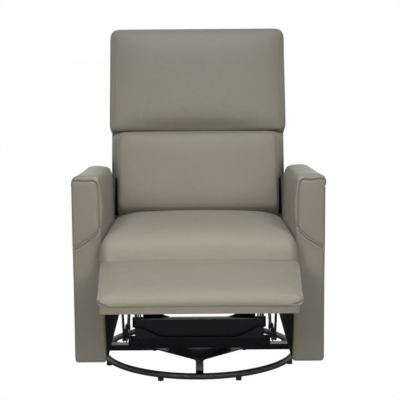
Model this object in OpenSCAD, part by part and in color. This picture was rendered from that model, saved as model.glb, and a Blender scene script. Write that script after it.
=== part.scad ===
// Swivel glider recliner: a padded armchair whose upper half hangs on four glide links
// over a swivelling ring base, with a folding footrest and a reclining back.
// X points to the right as one faces the chair, Y to the back, Z up. The floor is Z = 0.
// Side profiles are drawn as [y, z] with y counted from the swivel axis, front negative.

/* [Arms] */
// Clear width between the arms at their top
inner_w = 566; // [500:1:640]
// Width of one arm at its top
arm_w = 84; // [60:1:120]
// How much the inner face of an arm leans in towards its foot
arm_flare = 9; // [0:0.5:15]
// Front face of the arms, ahead of the swivel axis
arm_reach = 420; // [400:1:440]
// Length of an arm from front to back
arm_depth = 560; // [450:1:600]
// Height of the arm's underside above the floor
arm_foot_z = 100; // [80:1:130]
// Height of the arm's top edge at its front, above the floor
arm_top_z = 638; // [600:1:660]
// Fall of the arm's top from its front to its rear
arm_fall = 18; // [0:1:30]
// Thickness of the arm pad at its edge
arm_pad_h = 18; // [12:1:30]
// Rise of the pad's crown over its edge
arm_pad_crown = 18; // [6:1:24]
// Radius of the arm's upper rear corner
arm_rear_r = 130; // [60:1:180]
// Thickness of the foam and cover on the arm's wooden core
arm_cover_t = 14; // [8:1:20]

/* [Seat] */
// Height of the seat's edge at the rear
seat_z = 459; // [445:1:475]
// Rise of the seat's edge from the rear to the front
seat_rise = 30; // [15:1:40]
// Underside of the seat cushion
seat_under_z = 366; // [350:1:370]
// Front edge of the seat, ahead of the swivel axis
seat_reach = 502; // [490:1:506]
// Rear edge of the seat, behind the swivel axis
seat_tail = 38; // [20:1:45]
// Rise of the seat's crown
seat_crown = 14; // [4:1:20]
// Gap between the seat cushion and each arm
seat_side_gap = 2; // [1:0.5:6]
// Height of the timber seat rails
seat_rail_h = 44; // [30:1:44]
// Thickness of the timber seat rails
seat_rail_t = 25; // [18:1:30]
// Number of zigzag springs under the seat
seat_springs_n = 5; // [3:1:6]

/* [Back] */
// Lean of the backrest from upright, in degrees
back_tilt = 18.2; // [14:0.1:22]
// Length of the backrest up its slope
back_len = 628; // [570:1:650]
// Where the lumbar cushion ends and the head cushion begins, up the slope
back_split = 272; // [240:1:300]
// Thickness of the back cushions
back_pad_t = 108; // [80:1:115]
// Rise of their crown
back_crown = 16; // [6:1:24]
// Width of the head cushion
head_w = 588; // [550:1:605]
// Thickness of the back frame
back_frame_t = 25; // [18:1:30]
// Thickness of the padded rear cover
rear_cover_t = 24; // [15:1:35]

/* [Footrest] */
// Length of the footrest from the seat to its front edge
foot_len = 342; // [300:1:345]
// Width of the footrest
foot_w = 536; // [480:1:540]
// Slope of the open footrest, in degrees
foot_slope = 4.5; // [2:0.1:7]
// Height of the footrest's rear edge
foot_rear_z = 420; // [408:1:430]
// Thickness of the footrest pad
foot_pad_t = 27; // [22:1:34]
// Thickness of the footrest board
foot_board_t = 15; // [12:1:18]
// Rise of the pad's crown
foot_crown = 9; // [3:1:14]
// Turn of the long links from open to folded, in degrees
foot_swing = 75; // [65:0.5:80]

/* [Ring base] */
// Radius of the ring, to the middle of its tube
ring_r = 313; // [280:1:330]
// Diameter of the ring tube
ring_tube_d = 20; // [16:0.5:24]
// Height of the floor glides
glide_h = 9; // [6:0.5:12]
// Number of floor glides
glides_n = 8; // [6:1:12]
// Depth of the cross bar
bar_w = 36; // [30:1:44]
// Height of the cross bar and the struts
bar_h = 19; // [16:0.5:22]
// Wall of the bar and strut tubes
tube_t = 2; // [1.5:0.1:3]
// Width of the front and rear struts
strut_w = 24; // [20:1:30]

/* [Swivel] */
// Outer radius of the swivel bearing
race_r = 85; // [75:1:95]
// Diameter of a bearing ball
ball_d = 8; // [6:0.5:9]
// Number of bearing balls
balls_n = 24; // [16:1:30]
// Thickness of the swivel plates
plate_t = 4; // [3:0.5:5]
// Thickness of each bearing race
race_h = 6; // [5:0.5:8]

/* [Glider] */
// Distance of the glide links ahead of and behind the swivel axis
glide_y = 150; // [140:1:158]
// Height of the upper glide pivots
glide_top_z = 235; // [225:1:245]
// Length of a glide link between its pivots
glide_len = 110; // [95:1:120]

/* [Linkage] */
// Thickness of the side plates and links
link_t = 3; // [2.5:0.1:3.5]
// Inner face of the side rails, from the middle of the chair
rail_x = 197; // [190:1:204]
// Radius of the hinge pins
pin_r = 4; // [3:0.1:5]
// Height of the footrest pivots on the side rails
foot_pivot_z = 296; // [292:1:298]
// Rear footrest pivot, ahead of the swivel axis
foot_pivot_rear = 290; // [280:1:296]
// Front footrest pivot, ahead of the swivel axis
foot_pivot_front = 392; // [384:1:396]
// Back hinge, behind the swivel axis
back_hinge_y = 120; // [112:1:126]
// Height of the back hinge
back_hinge_z = 350; // [345:1:356]

/* [Hidden] */

// Overrun of every cut past the face it opens
over = 1;
// Radial clearance of a turning pin in its bore
run_fit = 0.06;
// Gap between plates of a joint that turn past each other
side_play = 0.25;
// Gap between soft or curved neighbours that only lie together
seat_gap = 0.3;
// Facets of a round corner or bore
fine = 64;

// Sine and cosine of the backrest's lean and of the open footrest's slope
back_s = sin(back_tilt);
back_c = cos(back_tilt);
foot_s = sin(foot_slope);
foot_c = cos(foot_slope);

// Point of the lumbar cushion's face at the seat, where the back's own axes start
back_y = 33;
back_z = seat_z + 15;
// Point u along the backrest and n in front of its face, as [y, z]
function back_at(u, n) = [back_y + u * back_s - n * back_c, back_z + u * back_c + n * back_s];

// Gap between the seat's nose and the footrest pad
nose_gap = 5;
foot_y = -(seat_reach + nose_gap);
// Point u along the open footrest and w above its face, as [y, z]
function foot_at(u, w) = [foot_y - u * foot_c - w * foot_s, foot_rear_z - u * foot_s + w * foot_c];

// Middle of the whole chair from front to back, which the origin stands under
back_depth = back_pad_t + back_frame_t + rear_cover_t + 2 * seat_gap;
mid_y = (foot_at(foot_len, 0)[0] + back_at(back_len, -back_depth)[0]) / 2;
// The swivel axis lies this far behind the origin
axis_y = -mid_y;

// Heights of the base, each worked up from the floor
ring_z = glide_h + ring_tube_d / 2;
bar_sink_share = 0.05;
bar_z = ring_z - bar_sink_share * ring_tube_d;
base_plate_z = bar_z + bar_h;
race_split_share = 0.125;
race_top_z = base_plate_z + plate_t + race_h;
ball_z = race_top_z + race_split_share * ball_d;
upper_race_z = race_top_z + 2 * race_split_share * ball_d;
turntable_z = upper_race_z + race_h;
frame_z = turntable_z + plate_t;

// Planes of the side plates, each its inner face from the middle of the chair
plate_gap = 2;
glide_link_t = link_t + over;
glide_link_x = rail_x - plate_gap - glide_link_t;
hanger_x = glide_link_x - plate_gap - link_t;
link_gap = 5;
link_x = rail_x + link_t + link_gap;
knee_x = link_x + link_t + link_gap;
bracket_x = knee_x + link_t + link_gap;
head_t = 2;
head_r = pin_r + 3;

// Footrest kinematics: the knee's pivot on the board travels on an arc from open to folded
foot_hinge_u = 90;
foot_hinge_w = 82;
stow_face_y = -490;
stow_top_z = 375;
hinge_open = foot_at(foot_hinge_u, -foot_hinge_w);
hinge_fold = [stow_face_y + foot_hinge_w, stow_top_z - foot_hinge_u];
hinge_chord = hinge_fold - hinge_open;
foot_link_len = norm(hinge_chord) / (2 * sin(foot_swing / 2));
foot_rise = foot_link_len * cos(foot_swing / 2);
hinge_up = [-hinge_chord[1], hinge_chord[0]] / norm(hinge_chord);
hinge_centre = (hinge_open + hinge_fold) / 2 + hinge_up * foot_rise;
foot_link = hinge_open - hinge_centre;
// Pivots of one side: p on the rail, q on the knee, r on the footrest
p_rear = [-foot_pivot_rear, foot_pivot_z];
p_front = [-foot_pivot_front, foot_pivot_z];
q_rear = p_rear + foot_link;
q_front = p_front + foot_link;
// Cranks that turn the footrest on the knee: t on the front link, s on the footrest
foot_turn = 90 - foot_slope;
knee_dir = atan2(hinge_open[1] - q_front[1], hinge_open[0] - q_front[0]);
crank_r = 40;
crank_t = q_front + crank_r * [cos(knee_dir + 90 - foot_swing / 2), sin(knee_dir + 90 - foot_swing / 2)];
board_crank_r = crank_r * foot_swing / foot_turn;
crank_s = hinge_open
  + board_crank_r * [cos(knee_dir + 90 - foot_turn / 2), sin(knee_dir + 90 - foot_turn / 2)];
// Clearance of the control link's open pivot, which the true four-bar path needs
open_play = 2.2;

// Places along the arms
arm_front_y = -arm_reach;
arm_rear_y = arm_front_y + arm_depth;
arm_inner_x = inner_w / 2;
arm_outer_x = arm_inner_x + arm_w;
arm_body_z = arm_top_z - arm_pad_h;

// Colours of the finishes
steel = [0.08, 0.08, 0.09];
zinc = [0.62, 0.63, 0.65];
hide = [0.57, 0.56, 0.51];
timber = [0.72, 0.58, 0.4];
cloth = [0.1, 0.1, 0.1];

// Carries what is drawn about the swivel axis to its place in the frame
module at_axis() {
  translate([0, axis_y, 0]) children();
}

module both_sides() {
  children();
  mirror([1, 0, 0]) children();
}

// Draws the right side as it is, and the left side as its mirror image
module on_side(right) {
  if (right) children();
  else mirror([1, 0, 0]) children();
}

// Sheet of thickness t whose outline is drawn as [y, z], its inner face at x
module side_plate(x, t) {
  translate([x, 0, 0]) rotate([90, 0, 90]) linear_extrude(height = t) children();
}

// Round bar along X from x0 to x1 through the point p = [y, z]
module x_bar(p, x0, x1, r) {
  translate([x0, p[0], p[1]]) rotate([0, 90, 0]) cylinder(r = r, h = x1 - x0, $fn = fine);
}

// Outline of a flat bar from p to q with round ends, which are a little wider than its waist
waist_share = 0.95;
module slot(p, q, r) {
  w = waist_share * r;
  translate(p) circle(r = r, $fn = fine);
  translate(q) circle(r = r, $fn = fine);
  translate(p) rotate(atan2(q[1] - p[1], q[0] - p[0])) translate([0, -w]) square([norm(q - p), 2 * w]);
}

// Outline of a stamped link through the points, less a hole at each point of the list
module link_outline(points, r, holes, hole_r) {
  difference() {
    union() {
      for (i = [1 : len(points) - 1]) slot(points[i - 1], points[i], r);
    }
    for (h = holes) translate(h) circle(r = hole_r, $fn = fine);
  }
}

// Rivet at p from a plate whose inner face is x0 to one whose inner face is x1 > x0.
// It is one with the first plate, and carries a collar between them and a head outside.
module rivet_out(p, x0, x1) {
  x_bar(p, x0 - head_t, x0, head_r);
  x_bar(p, x0, x1 + link_t + side_play + head_t, pin_r);
  x_bar(p, x0 + link_t, x1 - side_play, head_r);
  x_bar(p, x1 + link_t + side_play, x1 + link_t + side_play + head_t, head_r);
}

// Closed surface through rings of points that lie along Y
module loft(rings) {
  n = len(rings[0]);
  m = len(rings);
  points = [for (ring = rings) each ring];
  sides = [
    for (k = [0 : m - 2]) for (i = [0 : n - 1])
      let (a = k * n + i, b = k * n + (i + 1) % n, c = b + n, d = a + n)
        each [[a, b, c], [a, c, d]]
  ];
  first = [for (i = [1 : n - 2]) [0, i + 1, i]];
  last = [for (i = [1 : n - 2]) [(m - 1) * n, (m - 1) * n + i, (m - 1) * n + i + 1]];
  polyhedron(points = points, faces = concat(sides, first, last), convexity = 4);
}

// Ring of a cushion at y: rounded box with half width hw from zb to zt, a crown on top
// and a nearly flat base
base_power = 30;
function cushion_ring(y, hw, zb, zt, crown, n, box_power) = [
  for (i = [0 : n - 1])
    let (
      a = 360 * (i + 0.5) / n,
      power = sin(a) > 0 ? box_power : base_power,
      x = sign(cos(a)) * pow(abs(cos(a)), 2 / power),
      z = sign(sin(a)) * pow(abs(sin(a)), 2 / power),
      lift = z > 0 ? crown * (1 - x * x) : 0
    )
    [hw * x, y, (zt + zb) / 2 + z * (zt - zb) / 2 + lift]
];
// How full a cushion is at the share s of its length, from -1 at one end to 1 at the other
function fullness(s, power) = pow(1 - pow(abs(s), power), 1 / power);
// Smooth step from 0 at a to 1 at b
function blend_share(v, a, b) =
  let (t = min(1, max(0, (v - a) / (b - a)))) t * t * (3 - 2 * t);
// Places of the rings, closer together towards the ends
end_share = 0.9992;
function stations(m) = [for (k = [0 : m - 1]) end_share * sin(90 * (2 * k / (m - 1) - 1))];

module base_ring() {
  color(steel) at_axis() translate([0, 0, ring_z])
    rotate_extrude($fn = 2 * fine) translate([ring_r, 0]) circle(d = ring_tube_d, $fn = fine);
}

// Space that the ring tube takes out of the bars that are welded to it
module ring_cope() {
  translate([0, 0, ring_z]) rotate_extrude($fn = 2 * fine)
    translate([ring_r, 0]) circle(d = ring_tube_d + 2 * weld_gap, $fn = fine);
}
weld_gap = 0.1;

bolt_r = 4;
bolt_head_r = 7.5;
bolt_head_h = 5;
// Bolts of the swivel plate stand this far out along the cross bar
bar_bolt_x = 148;
diamond_x = 220;
diamond_y = 212;

module cross_bar() {
  reach = ring_r - ring_tube_d / 4;
  color(steel) at_axis() difference() {
    translate([-reach, -bar_w / 2, bar_z]) cube([2 * reach, bar_w, bar_h]);
    translate([-reach - over, tube_t - bar_w / 2, bar_z + tube_t])
      cube([2 * (reach + over), bar_w - 2 * tube_t, bar_h - 2 * tube_t]);
    ring_cope();
    for (x = [-bar_bolt_x, bar_bolt_x]) translate([x, 0, bar_z - over])
      cylinder(r = bolt_r + weld_gap, h = bar_h + 2 * over, $fn = fine);
  }
}

module base_struts() {
  reach = ring_r - ring_tube_d / 4;
  color(steel) at_axis() for (a = [0, 180]) rotate(a) difference() {
    translate([-strut_w / 2, bar_w / 2 + weld_gap, bar_z]) cube([strut_w, reach - bar_w / 2, bar_h]);
    translate([tube_t - strut_w / 2, 0, bar_z + tube_t])
      cube([strut_w - 2 * tube_t, reach + bar_w, bar_h - 2 * tube_t]);
    ring_cope();
  }
}

// Pressed diamond plate that carries the bearing on the cross
module swivel_base_plate() {
  tip_r = 16;
  color(steel) at_axis() translate([0, 0, base_plate_z]) linear_extrude(height = plate_t) difference() {
    union() {
      polygon([
        [diamond_x - tip_r, tip_r], [tip_r, diamond_y - tip_r], [-tip_r, diamond_y - tip_r],
        [tip_r - diamond_x, tip_r], [tip_r - diamond_x, -tip_r], [-tip_r, tip_r - diamond_y],
        [tip_r, tip_r - diamond_y], [diamond_x - tip_r, -tip_r]
      ]);
      for (s = [-1, 1]) {
        translate([s * (diamond_x - tip_r), 0]) circle(r = tip_r, $fn = fine);
        translate([0, s * (diamond_y - tip_r)]) circle(r = tip_r, $fn = fine);
      }
    }
    circle(r = race_inner_r, $fn = fine);
    for (x = [-bar_bolt_x, bar_bolt_x]) translate([x, 0]) circle(r = bolt_r + weld_gap, $fn = fine);
  }
}

module floor_glides() {
  glide_r = 0.9 * ring_tube_d / 2;
  color(cloth) at_axis() difference() {
    for (k = [0 : glides_n - 1]) rotate((k + 0.5) * 360 / glides_n) translate([ring_r, 0, 0])
      cylinder(r = glide_r, h = ring_z, $fn = fine);
    ring_cope();
  }
}

// Bolts up through the cross bar, each with a head below and a nut on the plate
module base_bolts() {
  color(zinc) at_axis() for (x = [-bar_bolt_x, bar_bolt_x]) translate([x, 0, 0]) {
    translate([0, 0, bar_z - bolt_head_h]) cylinder(r = bolt_head_r, h = bolt_head_h, $fn = 6);
    translate([0, 0, bar_z]) cylinder(r = bolt_r, h = bar_h + plate_t + bolt_head_h, $fn = fine);
    translate([0, 0, base_plate_z + plate_t]) cylinder(r = bolt_head_r, h = bolt_head_h, $fn = 6);
  }
}

race_band = 40;
race_inner_r = race_r - race_band;
race_mid_r = (race_r + race_inner_r) / 2;
ball_play = 0.08;

module race_profile(z) {
  difference() {
    translate([race_inner_r, z]) square([race_r - race_inner_r, race_h]);
    translate([race_mid_r, ball_z]) circle(d = ball_d + 2 * ball_play, $fn = fine);
  }
}

module lower_race() {
  color(zinc) at_axis() rotate_extrude($fn = 2 * fine) race_profile(base_plate_z + plate_t);
}

module bearing_balls() {
  color(zinc) at_axis() for (k = [0 : balls_n - 1]) rotate(k * 360 / balls_n)
    translate([race_mid_r, 0, ball_z]) sphere(d = ball_d, $fn = fine);
}

module upper_race() {
  color(zinc) at_axis() rotate_extrude($fn = 2 * fine) race_profile(upper_race_z);
}

beam_y = 110;
beam_w = 24;
beam_h = 37;
// How far each end of the beam passes the hanger
beam_end = 38;
wing_w = 88;
wing_h = 32;

// Pressed pan between the two hangers, with a pierced middle and four round windows
module turntable_plate() {
  pan_y = beam_y + beam_w / 2;
  window_r = 34;
  color(steel) at_axis() translate([0, 0, turntable_z]) linear_extrude(height = plate_t) difference() {
    translate([-hanger_x, -pan_y]) square([2 * hanger_x, 2 * pan_y]);
    circle(r = race_inner_r, $fn = fine);
    for (x = [-1, 1], y = [-1, 1]) translate([x * (hanger_x - 1.5 * window_r), y * (pan_y - 2 * window_r)])
      circle(r = window_r, $fn = fine);
  }
}

hanger_r = 14;
hanger_foot_r = 18;

// Stamped winged hanger: a low bar with an ear rising to each upper glide pivot
module hanger(right) {
  foot = frame_z + hanger_foot_r;
  waist_y = beam_y - beam_w - hanger_r;
  color(steel) at_axis() on_side(right) side_plate(hanger_x, link_t) difference() {
    union() {
      slot([-beam_y, foot], [beam_y, foot], hanger_foot_r);
      for (s = [-1, 1]) {
        slot([s * waist_y, foot], [s * glide_y, glide_top_z], hanger_r);
        slot([s * beam_y, foot], [s * glide_y, glide_top_z], hanger_r);
      }
    }
    for (s = [-1, 1]) translate([s * glide_y, glide_top_z]) circle(r = pin_r + weld_gap / 2, $fn = fine);
    for (s = [-1, 1]) translate([s * (waist_y + beam_y) / 2, foot + 2 * hanger_r])
      circle(r = hanger_r / 2, $fn = fine);
  }
}
module hanger_left() { hanger(false); }
module hanger_right() { hanger(true); }

// Channel beams between the hangers, with a gusset wing at each end and a flat horn welded to
// the outside of each hanger
module turntable_beams() {
  wall = link_t;
  color(steel) at_axis() for (a = [0, 180]) rotate(a) {
    difference() {
      translate([-hanger_x, beam_y - beam_w / 2, frame_z]) cube([2 * hanger_x, beam_w, beam_h]);
      translate([-hanger_x - over, beam_y - beam_w / 2 - over, frame_z - over])
        cube([2 * (hanger_x + over), beam_w - wall + over, beam_h - wall + over]);
    }
    both_sides() {
      translate([hanger_x + link_t + weld_gap, beam_y + beam_w / 2 - wall, frame_z]) cube([beam_end, wall, beam_h]);
      translate([0, beam_y + beam_w / 2, frame_z + beam_h]) rotate([90, 0, 0])
        linear_extrude(height = wall) wing_outline(hanger_x);
    }
  }
}

// Winged gusset that rises from a folded edge towards its outer end at x
module wing_outline(x) {
  polygon([
    [x, 0], [x - wing_w, 0], [x - 0.8 * wing_w, wing_h / 6], [x - wing_w / 3, 0.8 * wing_h],
    [x - wing_w / 5, wing_h], [x, wing_h]
  ]);
}

module hanger_pins() {
  color(zinc) at_axis() both_sides() for (s = [-1, 1]) {
    p = [s * glide_y, glide_top_z];
    x_bar(p, hanger_x - head_t, hanger_x, head_r);
    x_bar(p, hanger_x, glide_link_x + glide_link_t + side_play + over / 2, pin_r);
    x_bar(p, hanger_x + link_t, glide_link_x - side_play, head_r);
    x_bar(p, glide_link_x + glide_link_t + side_play, rail_x - 2 * side_play, head_r);
  }
}

glide_link_r = 13;

module glide_link(front, right) {
  y = front ? -glide_y : glide_y;
  top = [y, glide_top_z];
  low = [y, glide_top_z - glide_len];
  color(steel) at_axis() on_side(right) side_plate(glide_link_x, glide_link_t)
    difference() {
      link_outline([top, low], glide_link_r, [top, low], pin_r + run_fit);
      slot(top * 0.68 + low * 0.32, top * 0.32 + low * 0.68, glide_link_r / 3);
    }
}
module glide_link_front_left() { glide_link(true, false); }
module glide_link_front_right() { glide_link(true, true); }
module glide_link_rear_left() { glide_link(false, false); }
module glide_link_rear_right() { glide_link(false, true); }

rail_h = 46;
rail_top_z = seat_under_z - seat_rail_h - 2 * seat_gap;
rail_nose_r = 14;
leg_y = -225;
leg_r = 14;
front_plate_h = 56;
front_plate_z = glide_top_z - glide_len - 2;
tube_r = 10;
tube_front = [-352, rail_top_z - rail_h / 2];
tube_rear = [70, rail_top_z - rail_h / 2];

// Stamped side rail with ears down to the lower glide pivots and up to the back hinge
module side_rail(right) {
  mid_z = rail_top_z - rail_h / 2;
  low_z = glide_top_z - glide_len;
  color(steel) at_axis() on_side(right) {
    side_plate(rail_x, link_t) difference() {
      union() {
        slot([-foot_pivot_front, foot_pivot_z], [-foot_pivot_rear, foot_pivot_z], rail_nose_r);
        translate([-foot_pivot_front, mid_z - rail_h / 2]) square([foot_pivot_front + glide_y, rail_h]);
        slot([leg_y, mid_z], [leg_y, low_z + leg_r], leg_r);
        for (s = [-1, 1]) slot([s * glide_y, mid_z], [s * glide_y, low_z], glide_link_r);
        slot([back_hinge_y, mid_z], [back_hinge_y, back_hinge_z], rail_nose_r + link_t);
      }
      for (p = [p_rear, p_front, [back_hinge_y, back_hinge_z], [glide_y, low_z], [-glide_y, low_z]])
        translate(p) circle(r = pin_r + weld_gap / 2, $fn = fine);
      for (k = [-1, 0, 1]) slot([k * 2 * rail_h - rail_h / 2, mid_z], [k * 2 * rail_h, mid_z], rail_h / 6);
    }
    // Folded top flange that the seat rails rest on
    translate([rail_x - beam_w + link_t, -foot_pivot_front, rail_top_z - link_t])
      cube([beam_w - link_t + over / 2, foot_pivot_front + glide_y, link_t]);
  }
}
module side_rail_left() { side_rail(false); }
module side_rail_right() { side_rail(true); }

// Pins of the footrest links, the lower glide pivots and the back hinge on each rail
module rail_pins() {
  low_z = glide_top_z - glide_len;
  color(zinc) at_axis() both_sides() {
    for (p = [p_rear, p_front, [back_hinge_y, back_hinge_z]]) {
      x_bar(p, rail_x - head_t, rail_x, head_r);
      x_bar(p, rail_x, link_x + link_t + side_play + head_t, pin_r);
      x_bar(p, rail_x + link_t, link_x - side_play, head_r);
      x_bar(p, link_x + link_t + side_play, link_x + link_t + side_play + head_t, head_r);
    }
    for (s = [-1, 1]) {
      p = [s * glide_y, low_z];
      x_bar(p, rail_x + link_t, rail_x + link_t + head_t, head_r);
      x_bar(p, glide_link_x - side_play - over / 2, rail_x + link_t, pin_r);
      x_bar(p, glide_link_x + glide_link_t + side_play, rail_x, head_r);
      x_bar(p, glide_link_x - side_play - over, glide_link_x - side_play, head_r);
    }
  }
}

module chassis_tube(p) {
  color(steel) at_axis() difference() {
    x_bar(p, -rail_x, rail_x, tube_r);
    x_bar(p, -rail_x - over, rail_x + over, tube_r - tube_t);
  }
}
module chassis_tube_front() { chassis_tube(tube_front); }
module chassis_tube_rear() { chassis_tube(tube_rear); }

// Folded panel across the front of the glider. Its lower lip turns forward, and rises to a
// winged gusset at each end.
module chassis_front_plate() {
  lip = 16;
  color(steel) at_axis() {
    translate([-rail_x, leg_y - leg_r, front_plate_z]) cube([2 * rail_x, link_t, front_plate_h]);
    translate([-rail_x, leg_y - leg_r - lip, front_plate_z]) cube([2 * rail_x, lip + over, link_t]);
    both_sides() translate([0, leg_y - leg_r - lip + link_t, front_plate_z + link_t / 2]) rotate([90, 0, 0])
      linear_extrude(height = link_t) wing_outline(rail_x);
    translate([-rail_x, leg_y - leg_r, front_plate_z + front_plate_h - link_t])
      cube([2 * rail_x, lip / 2, link_t]);
  }
}

mount_y = [-200, 20];
mount_w = 46;

// Inner face of the arm at height z
function arm_face_x(z) = arm_inner_x - arm_flare * (arm_top_z - z) / (arm_top_z - arm_foot_z);

// Formed brackets that bolt the side rails to the arms
module arm_mounts() {
  z0 = rail_top_z - rail_h;
  z1 = rail_top_z - over;
  color(steel) at_axis() both_sides() for (y = mount_y) difference() {
    translate([0, y, 0]) rotate([90, 0, 0]) linear_extrude(height = mount_w, center = true)
      polygon([
        [rail_x + link_t, z0], [rail_x + 2 * link_t, z0], [rail_x + 2 * link_t, z1 - link_t],
        [arm_face_x(z1) - link_t - seat_gap, z1 - link_t], [arm_face_x(z0) - link_t - seat_gap, z0],
        [arm_face_x(z0) - seat_gap, z0], [arm_face_x(z1) - seat_gap, z1], [rail_x + link_t, z1]
      ]);
    for (s = [-1, 1]) x_bar([y + s * mount_w / 4, (z0 + z1) / 2], rail_x, arm_outer_x, bolt_r);
  }
}

// Front outline of the arm's body, from height foot to the underside of the pad
module arm_section(inset, foot) {
  polygon([
    [arm_face_x(foot) + inset, foot], [arm_outer_x - inset, foot],
    [arm_outer_x - inset, arm_body_z - inset], [arm_face_x(arm_body_z) + inset, arm_body_z - inset]
  ]);
}

// Side outline of the arm: its top falls to a rounded upper rear corner
arm_fall_angle = atan(arm_fall / arm_depth);
corner_steps = 20;
module arm_profile(inset) {
  r = arm_rear_r - inset;
  front = arm_front_y + inset;
  rear = arm_rear_y - inset;
  top = arm_body_z - inset;
  corner_z = top - (rear - r - front) * tan(arm_fall_angle) - r / cos(arm_fall_angle);
  arc = [
    for (k = [0 : corner_steps])
      let (a = k / corner_steps * (90 - arm_fall_angle))
        [rear - r + r * cos(a), corner_z + r * sin(a)]
  ];
  polygon(concat([[front, 0], [rear, 0]], arc, [[front, top]]));
}

module arm_solid(inset) {
  intersection() {
    translate([0, arm_rear_y, 0]) rotate([90, 0, 0]) linear_extrude(height = arm_depth)
      arm_section(inset, arm_foot_z);
    side_plate(0, arm_outer_x + over) arm_profile(inset);
  }
}

// Timber core of the arm
module arm_frame(right) {
  color(timber) at_axis() on_side(right) arm_solid(arm_cover_t);
}
module arm_frame_left() { arm_frame(false); }
module arm_frame_right() { arm_frame(true); }

// Padded cover drawn over the core from above and left open underneath
module arm_cover(right) {
  color(hide) at_axis() on_side(right) difference() {
    arm_solid(0);
    intersection() {
      translate([0, arm_rear_y, 0]) rotate([90, 0, 0]) linear_extrude(height = arm_depth)
        arm_section(arm_cover_t - seat_gap, arm_foot_z - over);
      side_plate(0, arm_outer_x + over) arm_profile(arm_cover_t - seat_gap);
    }
  }
}
module arm_cover_left() { arm_cover(false); }
module arm_cover_right() { arm_cover(true); }

// How far the arm's top has fallen at y
function arm_drop(y) = (y - arm_front_y) * tan(arm_fall_angle);

// Crowned pad along the top of the arm
module arm_pad(right) {
  half = (arm_depth - arm_rear_r) / 2;
  mid = arm_front_y + half;
  power = 10;
  color(hide) at_axis() on_side(right) translate([arm_inner_x + arm_w / 2, 0, 0])
    loft([for (s = stations(14))
      let (e = fullness(s, power), y = mid + half * s, z = arm_body_z + seat_gap - arm_drop(y))
        cushion_ring(y, arm_w / 2 * (0.9 + 0.1 * e), z, z + (arm_pad_h - seat_gap) * e,
          arm_pad_crown * e, 24, 5)]);
}
module arm_pad_left() { arm_pad(false); }
module arm_pad_right() { arm_pad(true); }

seat_rail_z = rail_top_z + seat_gap;
seat_rail_front_y = -395;
seat_rail_rear_y = 52;
seat_rail_half = arm_face_x(seat_rail_z) - seat_side_gap;

module seat_rail(y) {
  color(timber) at_axis() translate([-seat_rail_half, y, seat_rail_z])
    cube([2 * seat_rail_half, seat_rail_t, seat_rail_h]);
}
module seat_rail_front() { seat_rail(seat_rail_front_y); }
module seat_rail_rear() { seat_rail(seat_rail_rear_y); }

module seat_rails_side() {
  y0 = seat_rail_front_y + seat_rail_t;
  color(timber) at_axis() both_sides()
    translate([seat_rail_half - seat_rail_t, y0, seat_rail_z])
      cube([seat_rail_t, seat_rail_rear_y - y0, seat_rail_h]);
}

// Zigzag springs from the front seat rail to the rear one
module seat_springs() {
  wire = 3.6;
  pitch = 26;
  wave = 22;
  y0 = seat_rail_front_y + seat_rail_t;
  span = seat_rail_rear_y - y0;
  bends = floor(span / pitch) - 1;
  lead = (span - bends * pitch) / 2;
  z = seat_rail_z + seat_rail_h - 3 * wire;
  field = 2 * (seat_rail_half - seat_rail_t);
  color(zinc) at_axis() for (k = [0 : seat_springs_n - 1])
    translate([field * ((k + 0.5) / seat_springs_n - 0.5), y0, z]) linear_extrude(height = wire) {
      translate([-wire / 2, 0]) square([wire, lead]);
      translate([-wire / 2, span - lead]) square([wire, lead]);
      for (j = [0 : bends]) translate([-wave, lead + j * pitch - wire / 2]) square([2 * wave, wire]);
      for (j = [0 : bends - 1]) translate([j % 2 == 0 ? wave : -wave, lead + (j + 0.5) * pitch])
        intersection() {
          difference() {
            circle(d = pitch + wire, $fn = fine);
            circle(d = pitch - wire, $fn = fine);
          }
          translate([j % 2 == 0 ? 0 : -pitch, -pitch]) square([pitch, 2 * pitch]);
        }
    }
}

// Black cloth stapled under the seat rails, sagging a little across its width
module dust_cover() {
  sag = 10;
  half = rail_x - beam_w;
  t = 1.2;
  steps = 24;
  top = rail_top_z - seat_gap;
  y0 = seat_rail_front_y + seat_rail_t;
  low = [for (k = [0 : steps]) let (s = 2 * k / steps - 1) [half * s, top - sag * (1 - s * s)]];
  high = [for (k = [steps : -1 : 0]) low[k] - [0, t]];
  color(cloth) at_axis() translate([0, seat_rail_rear_y, 0]) rotate([90, 0, 0])
    linear_extrude(height = seat_rail_rear_y - y0) polygon(concat(low, high));
}

// Seat cushion: its top rises to a full rolled front, and its thinner nose overhangs the
// folded footrest
seat_nose_z = 386;
seat_nose_end = -425;
function seat_top(y) = seat_z + seat_rise * sin(90 * (seat_tail - y) / (seat_reach + seat_tail));
seat_lip_rise = 12;
seat_lip_share = 0.14;
function seat_low(y) =
  seat_under_z + (seat_nose_z - seat_under_z) * (1 - blend_share(y, seat_nose_end, seat_nose_end + seat_rail_t))
    + seat_lip_rise * (1 - blend_share(y, -seat_reach, -(1 - seat_lip_share) * seat_reach));
// How far the front of the seat swells past the arms' inner faces
seat_swell = 6;
module seat_cushion() {
  half = (seat_reach + seat_tail) / 2;
  mid = (seat_tail - seat_reach) / 2;
  hw = arm_face_x(seat_under_z) - seat_side_gap;
  front_power = 6;
  rear_power = 14;
  color(hide) at_axis()
    loft([for (s = stations(30))
      let (
        y = mid + half * s,
        e = fullness(s, s < 0 ? front_power : rear_power),
        m = (seat_top(y) + seat_low(y)) / 2,
        swell = seat_swell * (1 - blend_share(y, arm_front_y - 2 * seat_rail_t, arm_front_y - seat_nose_gap))
      )
        cushion_ring(y, (hw + swell) * (0.96 + 0.04 * e), m - e * (m - seat_low(y)),
          m + e * (seat_top(y) - m), seat_crown * e, 36, 7)]);
}
// Clearance between the swollen front of the seat and the arms' front faces
seat_nose_gap = 3;

// Places a back piece that is drawn with Y up the slope and Z out of the face
module on_back() {
  at_axis() translate([0, back_y, back_z]) rotate([90 - back_tilt, 0, 0]) children();
}

lumbar_half = arm_face_x(seat_z) - seat_side_gap;
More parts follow.
